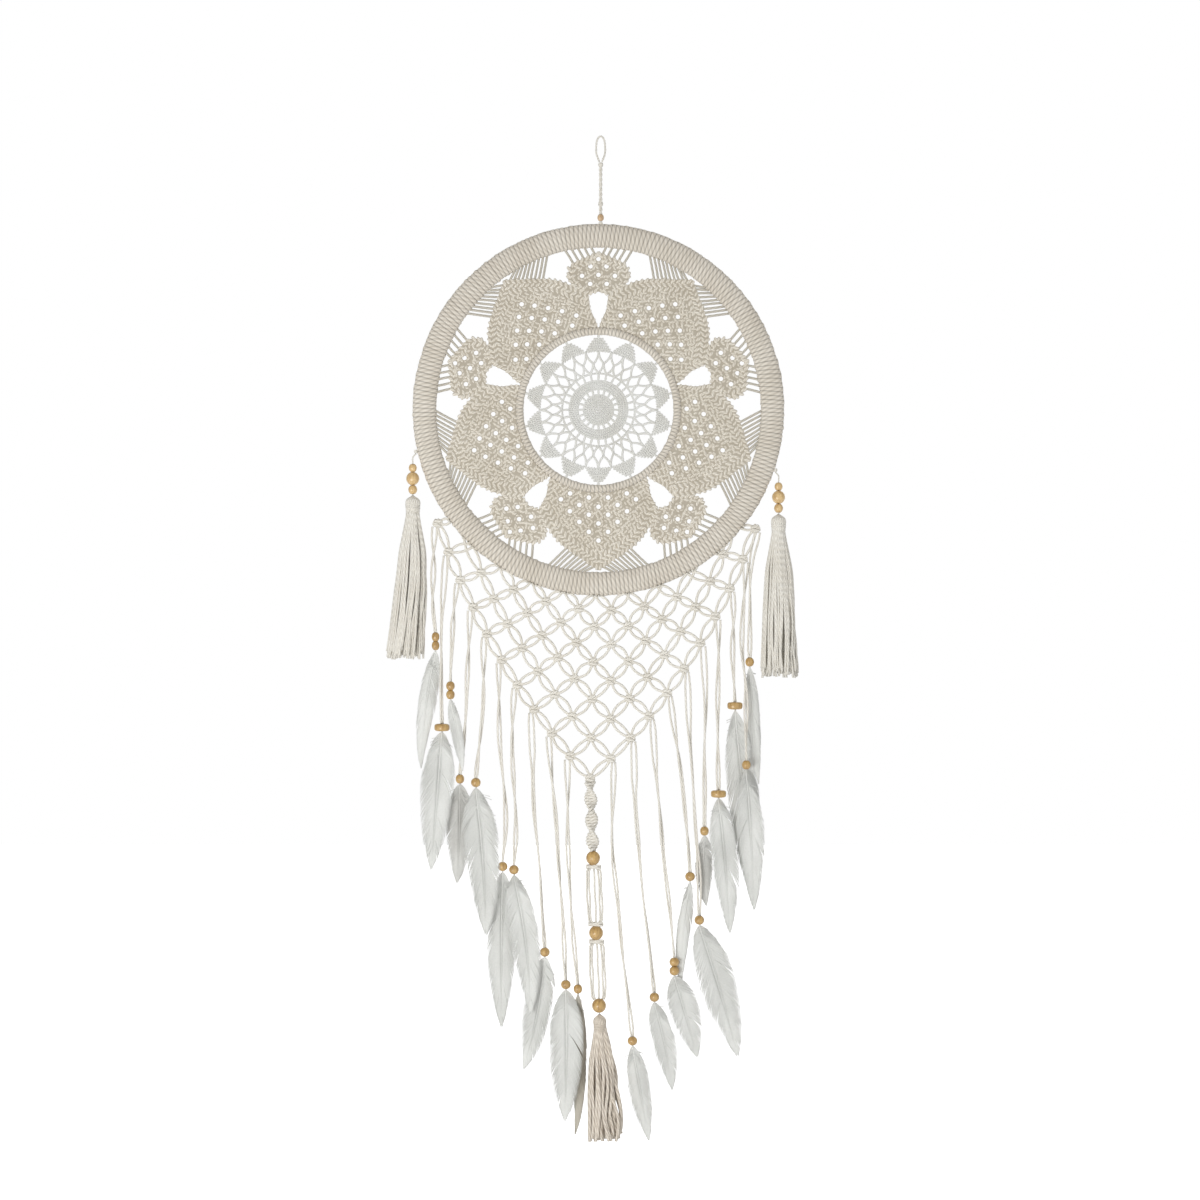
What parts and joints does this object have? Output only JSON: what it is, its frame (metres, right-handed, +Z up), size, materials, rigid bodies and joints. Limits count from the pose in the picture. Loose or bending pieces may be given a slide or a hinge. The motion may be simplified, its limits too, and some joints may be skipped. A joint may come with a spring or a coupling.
{
  "type": "dream catcher",
  "caption": "Boho wall-hung dream catcher: cord-wrapped hoop with knotted petals round a crocheted star, a V net of square knots, and a fringe of cords, wooden beads, feathers and tassels.",
  "frame": {"origin": "where the nail carries the hanging loop, at the top of the cord", "axes": "+Z up along the hanging line, -Y out of the front face, +X to the right seen from the front"},
  "size_m": [0.3642, 0.034, 0.9218],
  "materials": {
    "cord_cream": "matt twisted cotton cord",
    "cord_greige": "matt cotton cord, wrapped and knotted",
    "cord_white": "matt crocheted cotton yarn",
    "cord_beige": "matt cotton cord",
    "wood_hoop": "bare wood",
    "wire_steel": "plain wire",
    "wood_honey": "satin varnished bead wood",
    "wood_dark": "satin varnished bead wood",
    "feather_white": "soft matt feather",
    "feather_grey": "soft matt feather"
  },
  "bodies": {
    "loop": {"hanging_loop": "cord_cream"},
    "cord": {"hanging_knots": "cord_cream", "hanging_cord": "cord_cream"},
    "bead": {"hanging_bead": "wood_dark"},
    "hoop": {"hoop_ties": "cord_cream", "outer_hoop": "wood_hoop", "outer_wrap": "cord_greige", "inner_hoop": "wire_steel", "inner_wrap": "cord_greige", "crochet_doily": "cord_white", "large_petal_1": "cord_greige", "large_petal_2": "cord_greige", "large_petal_3": "cord_greige", "large_petal_4": "cord_greige", "large_petal_5": "cord_greige", "small_petals": "cord_greige", "spoke_cords": "cord_cream", "net_knots": "cord_cream", "net_cords": "cord_cream"},
    "centre_drop": {"centre_sennit": "cord_cream", "centre_bead_1": "wood_honey", "centre_bead_2": "wood_honey", "centre_bead_3": "wood_honey", "centre_knots": "cord_cream", "centre_ladder_cords": "cord_cream"},
    "centre_tassel": {"centre_tassel_head": "cord_beige", "centre_tassel_skirt": "cord_beige"},
    "left_drop": {"left_tassel_thread": "cord_cream", "left_tassel_beads": "wood_honey"},
    "left_tassel": {"left_tassel_head": "cord_cream", "left_tassel_skirt": "cord_cream"},
    "right_drop": {"right_tassel_thread": "cord_cream", "right_tassel_beads": "wood_honey"},
    "right_tassel": {"right_tassel_head": "cord_cream", "right_tassel_skirt": "cord_cream"},
    "left_fringe": {"left_fringe_cords": "cord_cream", "left_fringe_beads": "wood_honey"},
    "right_fringe": {"right_fringe_cords": "cord_cream", "right_fringe_beads": "wood_honey"},
    "left_feather_1_body": {"left_feather_1": "feather_grey"},
    "left_feather_2_body": {"left_feather_2": "feather_white"},
    "left_feather_3_body": {"left_feather_3": "feather_white"},
    "left_feather_4_body": {"left_feather_4": "feather_white"},
    "left_feather_5_body": {"left_feather_5": "feather_white"},
    "left_feather_6_body": {"left_feather_6": "feather_white"},
    "left_feather_7_body": {"left_feather_7": "feather_grey"},
    "left_feather_8_body": {"left_feather_8": "feather_white"},
    "left_feather_9_body": {"left_feather_9": "feather_white"},
    "left_feather_10_body": {"left_feather_10": "feather_white"},
    "right_feather_1_body": {"right_feather_1": "feather_white"},
    "right_feather_2_body": {"right_feather_2": "feather_white"},
    "right_feather_3_body": {"right_feather_3": "feather_white"},
    "right_feather_4_body": {"right_feather_4": "feather_white"},
    "right_feather_5_body": {"right_feather_5": "feather_white"},
    "right_feather_6_body": {"right_feather_6": "feather_grey"},
    "right_feather_7_body": {"right_feather_7": "feather_white"},
    "right_feather_8_body": {"right_feather_8": "feather_white"},
    "right_feather_9_body": {"right_feather_9": "feather_white"},
    "right_feather_10_body": {"right_feather_10": "feather_white"}
  },
  "joints": [
    {"name": "hang_swing", "type": "hinge", "parent": "loop", "child": "cord", "pos_m": [0, 0, -0.025], "axis": [0, 1, 0], "range_deg": [-30, 30]},
    {"name": "bead_twist", "type": "hinge", "parent": "cord", "child": "bead", "pos_m": [0, 0, -0.0734], "axis": [0, 0, 1], "range_deg": [-180, 180]},
    {"name": "hoop_tilt", "type": "hinge", "parent": "bead", "child": "hoop", "pos_m": [0, 0, -0.0766], "axis": [1, 0, 0], "range_deg": [-30, 30]},
    {"name": "left_drop_swing", "type": "hinge", "parent": "hoop", "child": "left_drop", "pos_m": [-0.16863, 0, -0.289], "axis": [0, 1, 0], "range_deg": [0, 35]},
    {"name": "left_tassel_swing", "type": "hinge", "parent": "left_drop", "child": "left_tassel", "pos_m": [-0.17163, 0, -0.3264], "axis": [1, 0, 0], "range_deg": [-45, 45]},
    {"name": "right_drop_swing", "type": "hinge", "parent": "hoop", "child": "right_drop", "pos_m": [0.15956, 0, -0.306], "axis": [0, -1, 0], "range_deg": [0, 35]},
    {"name": "right_tassel_swing", "type": "hinge", "parent": "right_drop", "child": "right_tassel", "pos_m": [0.16256, 0, -0.3434], "axis": [1, 0, 0], "range_deg": [-45, 45]},
    {"name": "centre_drop_swing", "type": "hinge", "parent": "hoop", "child": "centre_drop", "pos_m": [-0.00968, 0, -0.5884], "axis": [1, 0, 0], "range_deg": [-25, 25]},
    {"name": "centre_tassel_swing", "type": "hinge", "parent": "centre_drop", "child": "centre_tassel", "pos_m": [-0.00117, 0, -0.80023], "axis": [1, 0, 0], "range_deg": [-40, 40]},
    {"name": "left_fringe_swing", "type": "hinge", "parent": "hoop", "child": "left_fringe", "pos_m": [-0.08828, 0, -0.46174], "axis": [-0.4947, 0, 0.8691], "range_deg": [-15, 15]},
    {"name": "right_fringe_swing", "type": "hinge", "parent": "hoop", "child": "right_fringe", "pos_m": [0.07514, 0, -0.46548], "axis": [-0.5322, 0, -0.8466], "range_deg": [-15, 15]},
    {"name": "left_feather_1_swing", "type": "hinge", "parent": "left_fringe", "child": "left_feather_1_body", "pos_m": [-0.02075, 0.003, -0.78207], "axis": [1, 0, 0], "range_deg": [0, 35]},
    {"name": "left_feather_2_swing", "type": "hinge", "parent": "left_fringe", "child": "left_feather_2_body", "pos_m": [-0.0318, -0.003, -0.77808], "axis": [-1, 0, 0], "range_deg": [0, 35]},
    {"name": "left_feather_3_swing", "type": "hinge", "parent": "left_fringe", "child": "left_feather_3_body", "pos_m": [-0.05095, 0.003, -0.74843], "axis": [1, 0, 0], "range_deg": [0, 35]},
    {"name": "left_feather_4_swing", "type": "hinge", "parent": "left_fringe", "child": "left_feather_4_body", "pos_m": [-0.0792, -0.003, -0.67312], "axis": [-1, 0, 0], "range_deg": [0, 35]},
    {"name": "left_feather_5_swing", "type": "hinge", "parent": "left_fringe", "child": "left_feather_5_body", "pos_m": [-0.08955, 0.003, -0.67015], "axis": [1, 0, 0], "range_deg": [0, 35]},
    {"name": "left_feather_6_swing", "type": "hinge", "parent": "left_fringe", "child": "left_feather_6_body", "pos_m": [-0.114, -0.003, -0.59352], "axis": [-1, 0, 0], "range_deg": [0, 35]},
    {"name": "left_feather_7_swing", "type": "hinge", "parent": "left_fringe", "child": "left_feather_7_body", "pos_m": [-0.12855, 0.003, -0.59023], "axis": [1, 0, 0], "range_deg": [0, 35]},
    {"name": "left_feather_8_swing", "type": "hinge", "parent": "left_fringe", "child": "left_feather_8_body", "pos_m": [-0.1372, -0.003, -0.51328], "axis": [-1, 0, 0], "range_deg": [0, 35]},
    {"name": "left_feather_9_swing", "type": "hinge", "parent": "left_fringe", "child": "left_feather_9_body", "pos_m": [-0.14495, -0.003, -0.54267], "axis": [-1, 0, 0], "range_deg": [0, 35]},
    {"name": "left_feather_10_swing", "type": "hinge", "parent": "left_fringe", "child": "left_feather_10_body", "pos_m": [-0.1508, 0.003, -0.4684], "axis": [1, 0, 0], "range_deg": [0, 35]},
    {"name": "right_feather_1_swing", "type": "hinge", "parent": "right_fringe", "child": "right_feather_1_body", "pos_m": [0.02908, 0.003, -0.82955], "axis": [1, 0, 0], "range_deg": [0, 35]},
    {"name": "right_feather_2_swing", "type": "hinge", "parent": "right_fringe", "child": "right_feather_2_body", "pos_m": [0.04912, -0.003, -0.7896], "axis": [-1, 0, 0], "range_deg": [0, 35]},
    {"name": "right_feather_3_swing", "type": "hinge", "parent": "right_fringe", "child": "right_feather_3_body", "pos_m": [0.06732, -0.003, -0.76555], "axis": [-1, 0, 0], "range_deg": [0, 35]},
    {"name": "right_feather_4_swing", "type": "hinge", "parent": "right_fringe", "child": "right_feather_4_body", "pos_m": [0.08168, 0.003, -0.6794], "axis": [1, 0, 0], "range_deg": [0, 35]},
    {"name": "right_feather_5_swing", "type": "hinge", "parent": "right_fringe", "child": "right_feather_5_body", "pos_m": [0.0902, -0.003, -0.71915], "axis": [-1, 0, 0], "range_deg": [0, 35]},
    {"name": "right_feather_6_swing", "type": "hinge", "parent": "right_fringe", "child": "right_feather_6_body", "pos_m": [0.09488, 0.003, -0.6378], "axis": [1, 0, 0], "range_deg": [0, 35]},
    {"name": "right_feather_7_swing", "type": "hinge", "parent": "right_fringe", "child": "right_feather_7_body", "pos_m": [0.10772, -0.003, -0.60335], "axis": [-1, 0, 0], "range_deg": [0, 35]},
    {"name": "right_feather_8_swing", "type": "hinge", "parent": "right_fringe", "child": "right_feather_8_body", "pos_m": [0.12272, 0.003, -0.5228], "axis": [1, 0, 0], "range_deg": [0, 35]},
    {"name": "right_feather_9_swing", "type": "hinge", "parent": "right_fringe", "child": "right_feather_9_body", "pos_m": [0.13288, -0.006, -0.57715], "axis": [-1, 0, 0], "range_deg": [0, 35]},
    {"name": "right_feather_10_swing", "type": "hinge", "parent": "right_fringe", "child": "right_feather_10_body", "pos_m": [0.1362, 0.003, -0.4834], "axis": [1, 0, 0], "range_deg": [0, 35]}
  ]
}
